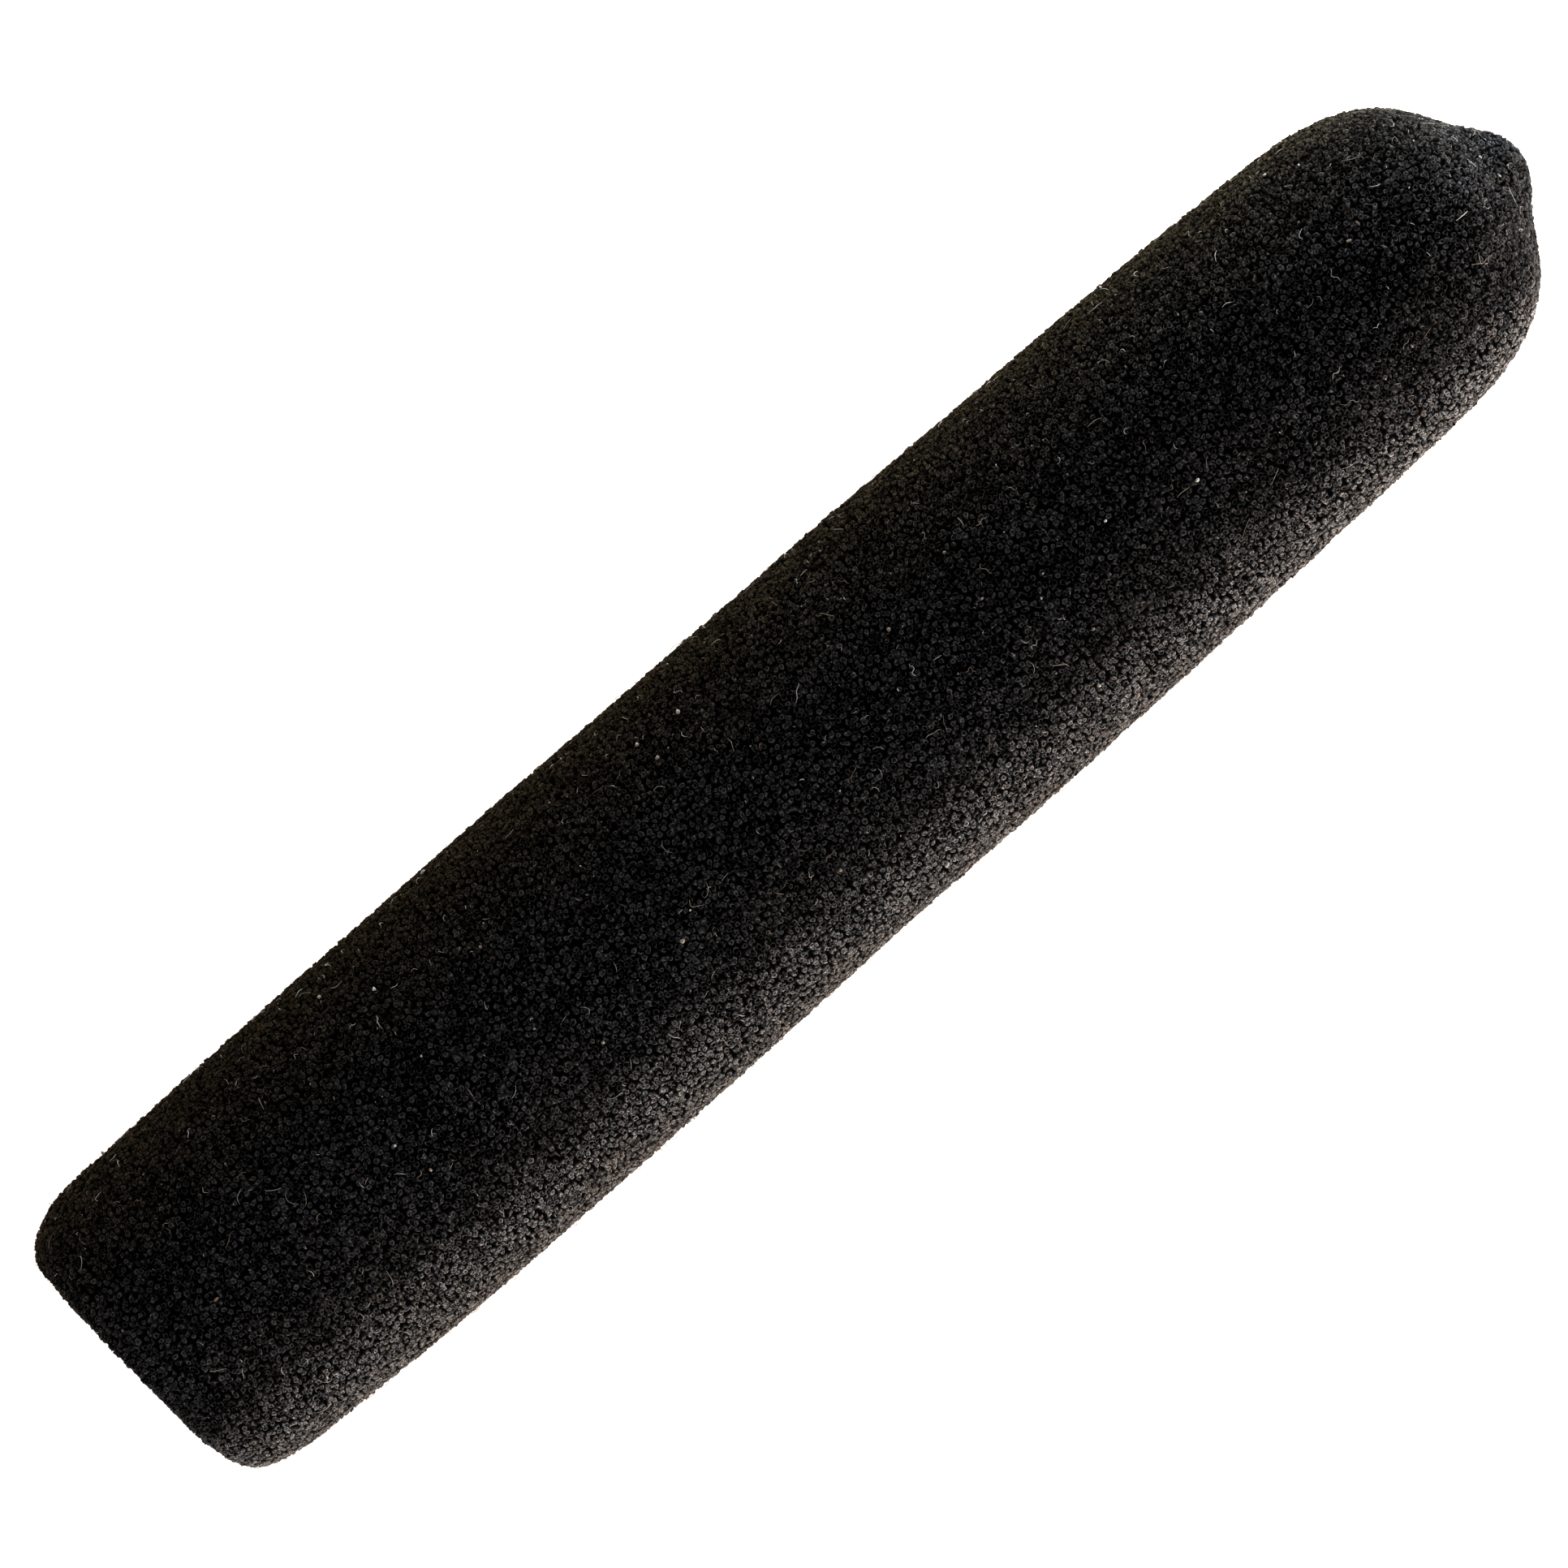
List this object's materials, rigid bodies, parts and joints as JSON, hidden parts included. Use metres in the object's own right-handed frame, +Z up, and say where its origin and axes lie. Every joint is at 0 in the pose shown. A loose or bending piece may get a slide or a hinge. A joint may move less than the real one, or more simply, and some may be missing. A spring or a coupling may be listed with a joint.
{
  "type": "foam microphone windscreen",
  "caption": "Slim slip-on foam windscreen for a shotgun microphone: a long tapered sleeve of black open-cell foam with a domed, blunt-tipped nose and a blind bore behind a flat mouth.",
  "frame": {"origin": "on the surface that the windscreen lies on, under its axis, halfway along its length", "axes": "+X along the axis, from the open mouth to the closed nose; +Z up, with the windscreen lying on its side"},
  "size_m": [0.18, 0.0354, 0.0354],
  "materials": {
    "black_foam": "matte black open-cell polyurethane foam with a fine moulded skin",
    "black_rubber": "satin black silicone rubber",
    "grey_foam": "matte dark grey fine-celled foam"
  },
  "bodies": {
    "root": {"foam_body": "black_foam", "grip_ring": "black_rubber", "front_pad": "grey_foam"}
  },
  "joints": []
}
